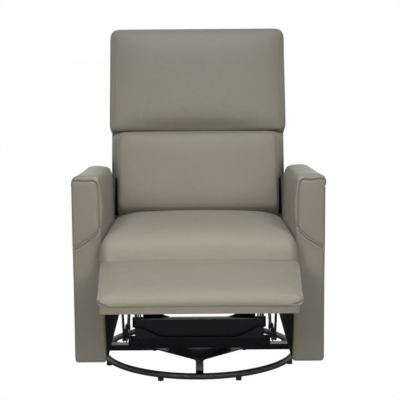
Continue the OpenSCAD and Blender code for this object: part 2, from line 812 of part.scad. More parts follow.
// Width of the slanting gusset at each side of the lumbar cushion's front panel, and its depth
gusset_w = 24;
gusset_t = 46;
module lumbar_cushion() {
  low = 4;
  half = (back_split - low) / 2;
  power = 9;
  back = -back_pad_t;
  color(hide) on_back() loft([for (s = stations(22))
    let (
      e = fullness(s, power),
      y = low + half + half * s,
      hw = lumbar_half * (0.93 + 0.07 * e),
      front = -(1 - e) * back_pad_t * 0.5,
      rear = back + (1 - e) * back_pad_t * 0.3,
      panel = hw - gusset_w,
      // Points of one half of the ring, from the middle of the rear face round to the front
      side = [
        [0, rear], [hw / 2, rear], [hw - gusset_w / 2, rear], [hw, rear + gusset_w / 2 * e],
        [hw, rear + (front - rear) * 0.3], [hw, max(front - gusset_t, rear + (front - rear) * 0.4)],
        [hw - gusset_w * 0.4, front - gusset_t * 0.42 * e], [panel + gusset_w * 0.12, front - gusset_t * 0.1 * e],
        [panel - gusset_w * 0.4, front],
        [panel * 0.8, front + back_crown * e * 0.36], [panel * 0.6, front + back_crown * e * 0.64],
        [panel * 0.4, front + back_crown * e * 0.84], [panel * 0.2, front + back_crown * e * 0.96]
      ]
    )
      concat(
        [[0, y, front + back_crown * e]],
        [for (k = [len(side) - 1 : -1 : 1]) [-side[k][0], y, side[k][1]]],
        [for (p = side) [p[0], y, p[1]]]
      )]);
}

module head_cushion() {
  low = back_split + 3;
  half = (back_len - low) / 2;
  top_power = 6;
  low_power = 12;
  color(hide) on_back() loft([for (s = stations(24))
    let (e = fullness(s, s > 0 ? top_power : low_power), narrow = s > 0 ? 0.1 : 0.04)
      cushion_ring(low + half + half * s, head_w / 2 * (1 - narrow + narrow * e),
        -back_pad_t + (1 - e) * back_pad_t * 0.3, -(1 - e) * back_pad_t * 0.6,
        back_crown * e, 36, 8)]);
}

back_post_x = link_x + link_t + side_play;
back_post_w = 30;
frame_low = -24;

// Timber back frame: a panel with two posts whose inner faces take the hinge brackets
module back_frame() {
  panel_t = back_frame_t / 2;
  half = lumbar_half - over;
  top = back_len - 2 * back_frame_t;
  color(timber) on_back() {
    translate([-half, back_split / 2, -back_pad_t - seat_gap - back_frame_t])
      cube([2 * half, top - back_split / 2, panel_t]);
    both_sides() translate([link_x + link_t, frame_low, -back_pad_t - seat_gap - back_frame_t])
      cube([back_post_w, top - frame_low, back_frame_t]);
    translate([-half, top - back_post_w, -back_pad_t - seat_gap - back_frame_t])
      cube([2 * half, back_post_w, back_frame_t]);
    translate([-half, back_split / 2, -back_pad_t - seat_gap - back_frame_t])
      cube([2 * half, back_post_w, back_frame_t]);
  }
}

// Steel brackets from the back hinge up the inner faces of the posts
module back_brackets() {
  hinge = [back_hinge_y, back_hinge_z];
  mid_n = -back_pad_t - seat_gap - back_frame_t / 2;
  low = back_at(0, mid_n);
  high = back_at(back_split / 2 - back_frame_t, mid_n);
  color(steel) at_axis() both_sides() side_plate(link_x, link_t)
    link_outline([hinge, low, high], back_frame_t / 2, [hinge], pin_r + run_fit);
}

// Strip of cover round the sides and the top of the back frame, between the cushions and the
// rear panel. It starts above the arms' rear ends.
border_low = 36;
module back_border() {
  half = head_w / 2 - facing_t;
  top = back_len - back_frame_t / 2;
  color(hide) on_back() translate([0, 0, -back_pad_t - seat_gap - back_frame_t])
    linear_extrude(height = back_frame_t) difference() {
      translate([-half, border_low]) square([2 * half, top - border_low]);
      translate([facing_t - half, border_low - over]) square([2 * (half - facing_t), top - facing_t - border_low + over]);
    }
}

// Padded rear panel of the back, with rounded edges
module back_rear_cover() {
  half = head_w / 2;
  edge = rear_cover_t / 2;
  mid = (frame_low + back_len) / 2;
  len_half = (back_len - frame_low) / 2;
  n1 = -back_pad_t - 2 * seat_gap - back_frame_t;
  power = 16;
  color(hide) on_back() mirror([0, 0, 1]) loft([for (s = stations(16)) let (e = fullness(s, power))
    cushion_ring(mid + len_half * s, half * (0.96 + 0.04 * e), -n1 + (1 - e) * edge,
      -n1 + rear_cover_t - edge / 2 - (1 - e) * edge / 2, edge / 2 * e, 28, 10)]);
}

foot_link_r = 11;
// Where the drive tube crosses the rear links, from the rail to the knee
drive_tube_share = 0.42;
control_r = 9;

module foot_rear_link(right) {
  color(steel) at_axis() on_side(right) {
    side_plate(link_x, link_t) link_outline([p_rear, q_rear], foot_link_r, [p_rear], pin_r + run_fit);
    rivet_out(q_rear, link_x, knee_x);
  }
}
module foot_rear_link_left() { foot_rear_link(false); }
module foot_rear_link_right() { foot_rear_link(true); }

// Front long link with its crank, which drives the control link
module foot_front_link(right) {
  color(steel) at_axis() on_side(right) {
    side_plate(link_x, link_t)
      link_outline([p_front, q_front, crank_t], foot_link_r, [p_front], pin_r + run_fit);
    rivet_out(q_front, link_x, knee_x);
    rivet_out(crank_t, link_x, knee_x);
  }
}
module foot_front_link_left() { foot_front_link(false); }
module foot_front_link_right() { foot_front_link(true); }

// Knee link, which both long links carry and the footrest hinges on
module foot_knee(right) {
  color(steel) at_axis() on_side(right) {
    side_plate(knee_x, link_t)
      link_outline([q_rear, q_front, hinge_open], foot_link_r, [q_rear, q_front], pin_r + run_fit);
    rivet_out(hinge_open, knee_x, bracket_x);
  }
}
module foot_knee_left() { foot_knee(false); }
module foot_knee_right() { foot_knee(true); }

// Control link from the front link's crank to the footrest bracket
module foot_control_link(right) {
  color(steel) at_axis() on_side(right) {
    side_plate(knee_x, link_t)
      link_outline([crank_t, crank_s], control_r, [crank_t], pin_r + run_fit);
    rivet_out(crank_s, knee_x, bracket_x);
  }
}
module foot_control_link_left() { foot_control_link(false); }
module foot_control_link_right() { foot_control_link(true); }

// Torsion tube that ties the two rear links
module foot_drive_tube() {
  p = p_rear + drive_tube_share * foot_link;
  color(steel) at_axis() difference() {
    x_bar(p, -link_x, link_x - seat_gap, tube_r);
    x_bar(p, -link_x - over, link_x + over, tube_r - tube_t);
  }
}

// Places a footrest piece that is drawn with Y from its front edge to the seat and Z off its face
module on_foot() {
  at_axis() translate([0, foot_y, foot_rear_z]) rotate([foot_slope, 0, 0]) children();
}

// The board stands back from the pad's edge by the facing that wraps it
facing_t = 3;
facing_margin = 9;
board_margin = facing_margin + facing_t + seat_gap;
module footrest_board() {
  color(timber) on_foot()
    translate([board_margin - foot_w / 2, board_margin - foot_len, -foot_pad_t - seat_gap - foot_board_t])
      cube([foot_w - 2 * board_margin, foot_len - 2 * board_margin, foot_board_t]);
}

// Strip of cover round the board's edge, the flat band under the rolled edge of the pad
module footrest_facing() {
  color(hide) on_foot() difference() {
    translate([facing_margin - foot_w / 2, facing_margin - foot_len, -foot_pad_t - seat_gap - foot_board_t])
      cube([foot_w - 2 * facing_margin, foot_len - 2 * facing_margin, foot_board_t]);
    translate([facing_margin + facing_t - foot_w / 2, facing_margin + facing_t - foot_len, -foot_pad_t - seat_gap - foot_board_t - over])
      cube([foot_w - 2 * (facing_margin + facing_t), foot_len - 2 * (facing_margin + facing_t), foot_board_t + 2 * over]);
  }
}

// Angle brackets under the board, with bores for the knee and the control link
module footrest_brackets() {
  board_w = -foot_pad_t - seat_gap - foot_board_t;
  top_rear = foot_at(foot_hinge_u - 2 * foot_link_r, board_w);
  top_front = foot_at(foot_len / 2, board_w);
  low_front = foot_at(foot_len / 2, board_w - foot_link_r);
  flange_u = foot_len / 2 - foot_hinge_u + 2 * foot_link_r;
  color(steel) at_axis() both_sides() {
    side_plate(bracket_x, link_t) difference() {
      union() {
        slot(hinge_open, crank_s, foot_link_r);
        intersection() {
          polygon([top_rear, top_front, low_front, hinge_open]);
          polygon([top_rear, top_front, low_front, crank_s, hinge_open]);
        }
        polygon([top_rear, hinge_open, crank_s, top_front]);
      }
      translate(hinge_open) circle(r = pin_r + run_fit, $fn = fine);
      translate(crank_s) circle(r = pin_r + open_play, $fn = fine);
    }
    translate([0, foot_y, foot_rear_z]) rotate([foot_slope, 0, 0])
      translate([bracket_x, -foot_len / 2, board_w - link_t])
        cube([beam_w, flange_u, link_t]);
  }
}

// Footrest pad with a full, rolled front edge
module footrest_pad() {
  half = foot_len / 2;
  power = 9;
  color(hide) on_foot() loft([for (s = stations(22)) let (e = fullness(s, power))
    cushion_ring(-half + half * s, foot_w / 2 * (0.96 + 0.04 * e),
      -foot_pad_t + (1 - e) * foot_pad_t / 3, -(1 - e) * foot_pad_t / 2,
      foot_crown * e, 32, 7)]);
}

base_ring();
cross_bar();
base_struts();
swivel_base_plate();
floor_glides();
base_bolts();
lower_race();
bearing_balls();
upper_race();
turntable_plate();
hanger_left();
hanger_right();
turntable_beams();
hanger_pins();
glide_link_front_left();
glide_link_front_right();
glide_link_rear_left();
glide_link_rear_right();
side_rail_left();
side_rail_right();
rail_pins();
chassis_tube_front();
chassis_tube_rear();
chassis_front_plate();
arm_mounts();
arm_frame_left();
arm_frame_right();
arm_cover_left();
arm_cover_right();
arm_pad_left();
arm_pad_right();
seat_rail_front();
seat_rail_rear();
seat_rails_side();
seat_springs();
dust_cover();
seat_cushion();
back_frame();
back_brackets();
lumbar_cushion();
head_cushion();
back_border();
back_rear_cover();
foot_rear_link_left();
foot_rear_link_right();
foot_front_link_left();
foot_front_link_right();
foot_knee_left();
foot_knee_right();
foot_control_link_left();
foot_control_link_right();
foot_drive_tube();
footrest_board();
footrest_brackets();
footrest_facing();
footrest_pad();
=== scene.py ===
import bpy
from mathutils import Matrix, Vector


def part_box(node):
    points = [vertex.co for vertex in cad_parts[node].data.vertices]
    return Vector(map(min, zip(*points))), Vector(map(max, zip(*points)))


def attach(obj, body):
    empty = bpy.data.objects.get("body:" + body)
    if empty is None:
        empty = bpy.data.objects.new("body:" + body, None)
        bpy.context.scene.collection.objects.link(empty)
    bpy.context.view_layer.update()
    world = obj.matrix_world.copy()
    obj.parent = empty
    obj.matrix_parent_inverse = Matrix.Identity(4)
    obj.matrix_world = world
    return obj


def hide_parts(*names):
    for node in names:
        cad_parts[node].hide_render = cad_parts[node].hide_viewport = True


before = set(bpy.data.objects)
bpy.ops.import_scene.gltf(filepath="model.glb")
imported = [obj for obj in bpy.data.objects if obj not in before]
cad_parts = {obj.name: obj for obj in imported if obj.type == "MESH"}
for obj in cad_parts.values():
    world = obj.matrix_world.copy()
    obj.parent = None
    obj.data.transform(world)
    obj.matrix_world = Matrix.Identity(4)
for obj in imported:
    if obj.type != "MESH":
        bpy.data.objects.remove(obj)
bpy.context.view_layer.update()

import math
import bpy
import numpy as np
from mathutils import Matrix, Vector
from mathutils.bvhtree import BVHTree
from mathutils.kdtree import KDTree

# Ring base. A round tube rolled to a ring, with a rectangular bar and two short struts
# welded across it and a pressed diamond plate on the crossing. All of it is powder coated
# black in one piece, so the coating is a little thick and softly glossy.


def linear(code):
    """Turns an sRGB hex colour into the linear values that a shader takes."""
    parts = [int(code[i:i + 2], 16) / 255 for i in (1, 3, 5)]
    return tuple(c / 12.92 if c <= 0.04045 else ((c + 0.055) / 1.055) ** 2.4
                 for c in parts) + (1.0,)


def add(tree, kind, settings=None, links=None):
    """Adds a shader node with its options and inputs by name, and links outputs to its inputs."""
    made = tree.nodes.new(kind)
    for name, value in (settings or {}).items():
        if isinstance(name, str) and hasattr(made, name):
            setattr(made, name, value)
        else:
            made.inputs[name].default_value = value
    for name, output in (links or {}).items():
        tree.links.new(output, made.inputs[name])
    return made


def start_material(name, settings):
    """Starts a material with one principled shader, and returns its parts for the pattern."""
    material = bpy.data.materials.new(name)
    material.use_nodes = True
    tree = material.node_tree
    tree.nodes.clear()
    shader = add(tree, "ShaderNodeBsdfPrincipled", settings)
    add(tree, "ShaderNodeOutputMaterial", None, {"Surface": shader.outputs["BSDF"]})
    place = add(tree, "ShaderNodeTexCoord").outputs["Object"]
    return material, tree, shader, place


def dress(material, *names):
    """Gives CAD nodes their material."""
    for name in names:
        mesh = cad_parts[name].data
        mesh.materials.clear()
        mesh.materials.append(material)


# Powder coat over steel: an even orange-peel skin of about 3 mm pitch that blurs highlights
powder_coat, tree, shader, place = start_material(
    "Powder coated steel, satin black", {"Specular IOR Level": 0.5}
)
peel = add(tree, "ShaderNodeTexNoise", {"Scale": 330.0, "Detail": 2.0}, {"Vector": place})
dust = add(tree, "ShaderNodeTexNoise", {"Scale": 9.0, "Detail": 4.0}, {"Vector": place})
tone = add(tree, "ShaderNodeMix",
           {"data_type": "RGBA", 6: linear("#292a30"), 7: linear("#3a3b43")},
           {0: dust.outputs[0]})
gloss = add(tree, "ShaderNodeMapRange", {"To Min": 0.28, "To Max": 0.46},
            {"Value": dust.outputs[0]})
bump = add(tree, "ShaderNodeBump", {"Strength": 0.25, "Distance": 0.0006},
           {"Height": peel.outputs[0]})
tree.links.new(tone.outputs[2], shader.inputs["Base Color"])
tree.links.new(gloss.outputs[0], shader.inputs["Roughness"])
tree.links.new(bump.outputs[0], shader.inputs["Normal"])
dress(powder_coat, "base_ring", "cross_bar", "base_struts", "swivel_base_plate")

# Floor glides. Small feet moulded in black nylon and pushed on under the ring, so that the
# steel doesn't mark a floor. They are dull, with a grit drawn at 1.7 mm so that it shows.
nylon, tree, shader, place = start_material(
    "Moulded nylon, matt black", {"Base Color": linear("#19191b"), "Roughness": 0.6}
)
grit = add(tree, "ShaderNodeTexNoise", {"Scale": 600.0, "Detail": 3.0}, {"Vector": place})
bump = add(tree, "ShaderNodeBump", {"Strength": 0.3, "Distance": 0.0005},
           {"Height": grit.outputs[0]})
tree.links.new(bump.outputs[0], shader.inputs["Normal"])
dress(nylon, "floor_glides")

# Swivel bearing and seat springs. Turned races, ground balls and bent zigzag springs, all of
# zinc plated steel. The plating is bright but slightly cloudy, in patches of about 8 mm.
zinc, tree, shader, place = start_material(
    "Zinc plated steel, bright",
    {"Base Color": linear("#a9abad"), "Metallic": 1.0},
)
cloud = add(tree, "ShaderNodeTexNoise", {"Scale": 120.0, "Detail": 5.0}, {"Vector": place})
gloss = add(tree, "ShaderNodeMapRange", {"To Min": 0.25, "To Max": 0.5},
            {"Value": cloud.outputs[0]})
tree.links.new(gloss.outputs[0], shader.inputs["Roughness"])
dress(zinc, "lower_race", "bearing_balls", "upper_race", "seat_springs")

# Mechanism. Side rails, links, hangers, beams and tubes of stamped steel, riveted together
# and dipped in black satin paint, whose tone and gloss vary a little where it has run.
painted, tree, shader, place = start_material(
    "Stamped steel, black satin paint", {"Specular IOR Level": 0.26}
)
run = add(tree, "ShaderNodeTexNoise", {"Scale": 26.0, "Detail": 6.0, "Roughness": 0.6},
          {"Vector": place})
tone = add(tree, "ShaderNodeMix",
           {"data_type": "RGBA", 6: linear("#101116"), 7: linear("#202129")},
           {0: run.outputs[0]})
gloss = add(tree, "ShaderNodeMapRange", {"To Min": 0.3, "To Max": 0.55}, {"Value": run.outputs[0]})
bump = add(tree, "ShaderNodeBump", {"Strength": 0.2, "Distance": 0.0008},
           {"Height": run.outputs[0]})
tree.links.new(tone.outputs[2], shader.inputs["Base Color"])
tree.links.new(gloss.outputs[0], shader.inputs["Roughness"])
tree.links.new(bump.outputs[0], shader.inputs["Normal"])
dress(painted, *(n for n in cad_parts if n.startswith((
    "turntable", "hanger", "glide_link", "side_rail", "rail_pins", "chassis", "arm_mounts",
    "back_brackets", "foot_", "footrest_brackets", "base_bolts"))))

# Timber. Arm cores, seat rails and footrest board, sawn from birch plywood and screwed
# together. The plies show as thin lines of about 1.4 mm on the edges.
plywood, tree, shader, place = start_material("Birch plywood, sawn", {"Roughness": 0.7})
grain = add(tree, "ShaderNodeTexWave",
            {"Scale": 220.0, "Distortion": 6.0, "Detail": 2.0, "bands_direction": "Z"},
            {"Vector": place})
tone = add(tree, "ShaderNodeMix",
           {"data_type": "RGBA", 6: linear("#b48c5a"), 7: linear("#d3b283")},
           {0: grain.outputs[0]})
tree.links.new(tone.outputs[2], shader.inputs["Base Color"])
dress(plywood, "arm_frame_left", "arm_frame_right", "seat_rail_front", "seat_rail_rear",
      "seat_rails_side", "footrest_board")

# Dust cover and linings. Black non-woven cloth is stapled under the springs, where it sags a
# little, and over the outer faces of the timber rails at the front and rear. The back's
# timber frame is wrapped in it, because its lower ends can be seen behind the arms.

# Non-woven cloth: a dull felt of short fibres, drawn at about 1 mm so that they show
felt, tree, shader, place = start_material(
    "Non-woven polypropylene, black",
    {"Base Color": linear("#0f0f10"), "Roughness": 0.95, "Specular IOR Level": 0.25},
)
fibre = add(tree, "ShaderNodeTexNoise", {"Scale": 900.0, "Detail": 4.0}, {"Vector": place})
bump = add(tree, "ShaderNodeBump", {"Strength": 0.5, "Distance": 0.0008},
           {"Height": fibre.outputs[0]})
tree.links.new(bump.outputs[0], shader.inputs["Normal"])
dress(felt, "back_frame")


def points_of(piece):
    """The piece's points as rows of x, y, z."""
    points = np.zeros(len(piece.data.vertices) * 3)
    piece.data.vertices.foreach_get("co", points)
    return points.reshape(-1, 3)


def put_points(piece, points):
    """Moves the piece's points to these rows."""
    piece.data.vertices.foreach_set("co", np.ascontiguousarray(points, dtype=np.float32).ravel())
    piece.data.update()


def block(name, low, high, cell):
    """Adds a block from one corner to the other, cut by bisecting into cells of about that size."""
    bpy.ops.object.select_all(action="DESELECT")
    low, high = Vector(low), Vector(high)
    bpy.ops.mesh.primitive_cube_add(size=1.0, location=(low + high) / 2, scale=high - low)
    piece = bpy.context.object
    piece.name = piece.data.name = name
    bpy.ops.object.transform_apply(location=True, rotation=True, scale=True)
    bpy.ops.object.mode_set(mode="EDIT")
    for axis in range(3):
        span = high[axis] - low[axis]
        count = max(1, round(span / cell[axis]))
        normal = [0.0, 0.0, 0.0]
        normal[axis] = 1.0
        for k in range(1, count):
            point = [0.0, 0.0, 0.0]
            point[axis] = low[axis] + span * k / count
            bpy.ops.mesh.select_all(action="SELECT")
            bpy.ops.mesh.bisect(plane_co=point, plane_no=normal)
    bpy.ops.object.mode_set(mode="OBJECT")
    return piece


sag, pleat_depth, cloth_thick, staple_gap = 0.0085, 0.0005, 0.0008, 0.0010
lowest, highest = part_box("dust_cover")
bpy.ops.object.select_all(action="DESELECT")
bpy.ops.mesh.primitive_grid_add(x_subdivisions=36, y_subdivisions=28, size=1.0)
cloth = bpy.context.object
cloth.name = cloth.data.name = "dust_cover_cloth"
points = points_of(cloth)
across, along = 2 * points[:, 0], 2 * points[:, 1]
belly = sag * (1 - across ** 2) * (1 - 0.25 * along ** 4)
pleat = pleat_depth * np.sin(70 * points[:, 0]) * np.sin(23 * points[:, 1])
put_points(cloth, np.column_stack((
    (lowest[0] + highest[0]) / 2 + points[:, 0] * (highest[0] - lowest[0]),
    (lowest[1] + highest[1]) / 2 + points[:, 1] * (highest[1] - lowest[1]),
    highest[2] - staple_gap - belly + pleat)))
change = cloth.modifiers.new("Solidify", "SOLIDIFY")
change.thickness = cloth_thick
bpy.ops.object.modifier_apply(modifier=change.name)
bpy.ops.object.shade_smooth()
cloth.data.materials.append(felt)
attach(cloth, "chassis")
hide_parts("dust_cover")


def lining(name, low, high, side, body, placed):
    """Staples on a thin black lining, cut as a flat block and carried to its place. It also makes
    the black sheets of painted shade beside the back.
    """
    piece = block(name, low, high, (0.02, 0.05, 0.05))
    put_points(piece, placed(points_of(piece)))
    if side < 0:
        piece.data.flip_normals()
    piece.data.materials.append(felt)
    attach(piece, body)
    return piece


def rippled(points):
    """Lets a lining over a rail stand off a little between its staples."""
    still = np.zeros(len(points))
    return points + np.column_stack((still, 0.0003 * np.sin(60 * points[:, 0]), still))


# The linings over the rails end 3 mm short of the rails' ends and 2 mm below their tops
lining_gap, lining_out = 0.0008, 0.0020
for word, face, away in (("front", 0, -1), ("rear", 1, 1)):
    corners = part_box("seat_rail_" + word)
    ends = sorted((corners[face][1] + away * lining_gap, corners[face][1] + away * lining_out))
    lining("rail_lining_" + word, (corners[0][0] + 0.003, ends[0], corners[0][2] - 0.0005),
           (corners[1][0] - 0.003, ends[1], corners[1][2] - 0.002), 1, "chassis", rippled)

# Seat cushion. Foam and fibre under faux leather, pushed in between the arms: its top rises to
# a full rolled front that comes down onto the footrest. It is cut and blown up as cloth.

# Faux leather: polyurethane skin embossed with a fine leather grain. The real grain is about
# 1 mm and is drawn at 2.5 mm so that it shows. Its tone varies softly over a hand's width.
leather, tree, shader, place = start_material(
    "Polyurethane faux leather, embossed taupe",
    {"Specular IOR Level": 0.4, "Sheen Weight": 0.06, "Sheen Roughness": 0.4},
)
patch = add(tree, "ShaderNodeTexNoise", {"Scale": 7.0, "Detail": 3.0, "Roughness": 0.5},
            {"Vector": place})
pebble = add(tree, "ShaderNodeTexVoronoi", {"feature": "DISTANCE_TO_EDGE", "Scale": 420.0},
             {"Vector": place})
pore = add(tree, "ShaderNodeMapRange", {"From Max": 0.22, "To Min": 0.0, "To Max": 1.0},
           {"Value": pebble.outputs["Distance"]})
soft = add(tree, "ShaderNodeTexNoise", {"Scale": 30.0, "Detail": 4.0, "Roughness": 0.55},
           {"Vector": place})
tone = add(tree, "ShaderNodeMix",
           {"data_type": "RGBA", 6: linear("#8b8978"), 7: linear("#989485")},
           {0: patch.outputs[0]})
# The grain's valleys are coloured a little darker than its tops
grain_valley_tone = add(tree, "ShaderNodeMix", {"data_type": "RGBA", 6: linear("#868275")},
           {0: pore.outputs[0], 7: tone.outputs[2]})
gloss = add(tree, "ShaderNodeMapRange", {"To Min": 0.38, "To Max": 0.52},
            {"Value": soft.outputs[0]})
ripple = add(tree, "ShaderNodeBump", {"Strength": 0.3, "Distance": 0.003},
             {"Height": soft.outputs[0]})
emboss = add(tree, "ShaderNodeBump", {"Strength": 0.18, "Distance": 0.0006},
             {"Height": pore.outputs[0], "Normal": ripple.outputs[0]})
tree.links.new(grain_valley_tone.outputs[2], shader.inputs["Base Color"])
tree.links.new(gloss.outputs[0], shader.inputs["Roughness"])
tree.links.new(emboss.outputs[0], shader.inputs["Normal"])


def rounded(points, low, high, near, far):
    """Rounds a block's edges: near and far are the radii at its low and high sides."""
    near, far = np.asarray(near, float), np.asarray(far, float)
    inner = np.clip(points, np.asarray(low) + near, np.asarray(high) - far)
    away = points - inner
    radius = np.where(away < 0, near, far)
    share = away / radius
    length = np.maximum(np.linalg.norm(share, axis=1, keepdims=True), 1e-9)
    return np.where(length > 1e-6, inner + share / np.maximum(length, 1.0) * radius, points)


def step(values, start, end):
    """Rises smoothly from 0 to 1 between two values."""
    share = np.clip((values - start) / (end - start), 0, 1)
    return share * share * (3 - 2 * share)


def inflate(piece, held, pressure, cap, frames=20):
    """Blows a closed cloth up between its held points, and lets no point move further than cap."""
    scene = bpy.context.scene
    bpy.ops.object.select_all(action="DESELECT")
    before = points_of(piece)
    group = piece.vertex_groups.new(name="held")
    group.add([int(i) for i in np.nonzero(held)[0]], 1.0, "REPLACE")
    cloth = piece.modifiers.new("Cloth", "CLOTH")
    cloth.point_cache.frame_start = 1
    cloth.point_cache.frame_end = frames
    settings = cloth.settings
    settings.quality = 6
    settings.mass = 0.3
    settings.tension_stiffness = settings.compression_stiffness = 18
    settings.shear_stiffness = 8
    settings.bending_stiffness = 1.2
    settings.air_damping = 2.0
    settings.use_pressure = True
    settings.uniform_pressure_force = pressure
    settings.vertex_group_mass = group.name
    settings.effector_weights.gravity = 0.0
    cloth.collision_settings.use_collision = False
    for number in range(1, frames + 1):
        scene.frame_set(number)
    shown = piece.evaluated_get(bpy.context.evaluated_depsgraph_get())
    after = np.zeros(len(shown.data.vertices) * 3)
    shown.data.vertices.foreach_get("co", after)
    moved = after.reshape(-1, 3) - before
    length = np.maximum(np.linalg.norm(moved, axis=1, keepdims=True), 1e-9)
    cap = np.reshape(np.broadcast_to(cap, (len(before),)), (-1, 1))
    piece.modifiers.remove(cloth)
    piece.vertex_groups.remove(group)
    put_points(piece, before + moved / length * cap * np.tanh(length / np.maximum(cap, 1e-6)))
    scene.frame_set(1)


def pick(piece):
    """Selects one piece alone, for the operators that act on what is selected."""
    bpy.ops.object.select_all(action="DESELECT")
    piece.select_set(True)
    bpy.context.view_layer.objects.active = piece


def finish_soft(piece, body, fill, *nodes):
    """Smooths a soft piece, dresses it in faux leather and hangs it on its body."""
    pick(piece)
    smooth = piece.modifiers.new("Subdivision", "SUBSURF")
    smooth.levels = smooth.render_levels = 1
    bpy.ops.object.modifier_apply(modifier=smooth.name)
    bpy.ops.object.shade_smooth()
    piece.data.materials.clear()
    piece.data.materials.append(leather)
    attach(piece, body)
    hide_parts(*nodes)


def spaced(path, gap):
    """Points at an even gap along a path."""
    path = np.asarray(path, float)
    ends = np.concatenate(([0], np.cumsum(np.linalg.norm(np.diff(path, axis=0), axis=1))))
    at = np.linspace(0, ends[-1], max(2, round(ends[-1] / gap) + 1))
    return np.column_stack([np.interp(at, ends, path[:, k]) for k in range(3)])


def draw_in(piece, path, width, depth, finer=0):
    """Draws a cover in along a path, as a seam or a fold does, and first cuts it finer there."""
    points = spaced(path, width * 0.7)
    tree = KDTree(len(points))
    for i, point in enumerate(points):
        tree.insert(point, i)
    tree.balance()
    pick(piece)
    mesh = piece.data
    for _ in range(finer):
        bpy.ops.object.mode_set(mode="EDIT")
        bpy.ops.mesh.select_mode(type="FACE")
        bpy.ops.mesh.select_all(action="DESELECT")
        bpy.ops.object.mode_set(mode="OBJECT")
        close = [tree.find(face.center)[2] < 2.5 * width + 0.5 * math.sqrt(face.area)
                 for face in mesh.polygons]
        mesh.polygons.foreach_set("select", close)
        bpy.ops.object.mode_set(mode="EDIT")
        bpy.ops.mesh.subdivide(number_cuts=1, smoothness=0.0)
        bpy.ops.object.mode_set(mode="OBJECT")
    moved = points_of(piece)
    normals = np.zeros(len(mesh.vertices) * 3)
    mesh.vertices.foreach_get("normal", normals)
    away = np.array([tree.find(point)[2] for point in moved])
    drawn = depth * np.exp(-(away / width) ** 2)
    put_points(piece, moved - normals.reshape(-1, 3) * drawn[:, None])


def on_cover(piece, path, toward):
    """Drops a path onto a piece along a direction, and gives the surface's normal at each point."""
    tree = BVHTree.FromObject(piece, bpy.context.evaluated_depsgraph_get())
    toward = Vector(toward).normalized()
    found = [tree.ray_cast(Vector(point) - 0.2 * toward, toward) for point in path]
    kept = [(hit[0], hit[1]) for hit in found if hit[0] is not None]
    return np.array([point for point, _ in kept]), np.array([normal for _, normal in kept])


# The frame's y of the swivel's axis, from which every depth below is measured
axis_y = 0.234542
seat_half, seat_thick = 0.2785, 0.1
seat_low, seat_high = Vector((-seat_half, -0.504, 0.0)), Vector((seat_half, 0.070, seat_thick))
# Radii of the edges: the roll is far rounder than the rest, and rounder still at its top
side_r, roll_r, rear_r, bottom_r, top_r, roll_more = 0.022, 0.085, 0.03, 0.012, 0.034, 0.038
# The top rises from the rear to the roll, and the underside steps up over the footrest's rear
rear_z, seat_rise, rise_start, rise_run = 0.459, 0.030, 0.038, 0.540
under_z, under_step, seat_swell, seat_crown = 0.3675, 0.019, 0.011, 0.010
seat = block("seat_cushion_cover", seat_low, seat_high, (0.014, 0.014, 0.0125))
base = points_of(seat)
count = len(base)
roll = 1 - step(base[:, 1], seat_low[1] + 0.02, seat_low[1] + 0.13)
shaped = rounded(base, seat_low, seat_high, (side_r, roll_r, bottom_r), np.column_stack(
    (np.full(count, side_r), np.full(count, rear_r), top_r + roll_more * roll)))
risen = np.clip((rise_start - shaped[:, 1]) / rise_run, 0, 1)
top = rear_z + seat_rise * np.sin(np.pi / 2 * risen)
under = under_z + under_step * step(-shaped[:, 1], 0.400, 0.425)
level = shaped[:, 2] / seat_thick
side = shaped[:, 0] / seat_half
# In front of the arms the roll swells out to the sides
swell = seat_swell * step(-shaped[:, 1], 0.418, 0.460)
crown = seat_crown * np.clip(1 - side ** 2, 0, 1) * np.clip(level * 1.6 - 0.6, 0, 1)
put_points(seat, np.column_stack((
    shaped[:, 0] + swell * side, shaped[:, 1] + axis_y, under + level * (top - under) + crown)))
# The cover is held at the base, below the roll and along the top's side seams
seat_rim = (np.abs(base[:, 0]) > 0.278) & (base[:, 1] > -0.41) & (base[:, 2] < 0.099)
lower = (base[:, 2] < 0.0749) & ((base[:, 1] > -0.44) | (base[:, 2] < 0.02))
inflate(seat, lower | seat_rim, 4.0,
        0.003 + 0.009 * step(base[:, 1], seat_low[1] + 0.03, seat_low[1] + 0.22))
finish_soft(seat, "chassis", 0.7, "seat_cushion")
# The cover is gathered a little where the roll turns down
fold = [(x, -0.51 + axis_y, 0.437 + 0.003 * math.sin(23 * x))
        for x in np.linspace(-0.24, 0.24, 24)]
fold, _ = on_cover(seat, fold, (0, 1, 0))
draw_in(seat, fold, 0.006, 0.0007)

# Back cushions. Two separate fibre-filled cushions on one back: a lumbar cushion with slanting
# side gussets and sewn edges, and a taller head cushion over it with soft top corners.
back_tilt, back_foot_y, back_foot_z = 18.2, 0.033, 0.474
on_back = (Matrix.Translation((0, back_foot_y + axis_y, back_foot_z))
           @ Matrix.Rotation(math.radians(90 - back_tilt), 4, "X"))
into_back = on_back.to_3x3() @ Vector((0, 0, -1))
both_sides = ((-1, "left"), (1, "right"))
# How far in front of a cover the paths of its seams and stitches are drawn
ahead = 0.02


def ease(piece, chosen, repeat):
    """Evens out the depth of the chosen points of a piece that lies flat, as its filling would."""
    pick(piece)
    bpy.ops.object.mode_set(mode="EDIT")
    bpy.ops.mesh.select_mode(type="VERT")
    bpy.ops.mesh.select_all(action="DESELECT")
    bpy.ops.object.mode_set(mode="OBJECT")
    piece.data.vertices.foreach_set("select", np.asarray(chosen, bool))
    bpy.ops.object.mode_set(mode="EDIT")
    bpy.ops.mesh.vertices_smooth(factor=0.5, repeat=repeat, xaxis=False, yaxis=False, zaxis=True)
    bpy.ops.object.mode_set(mode="OBJECT")


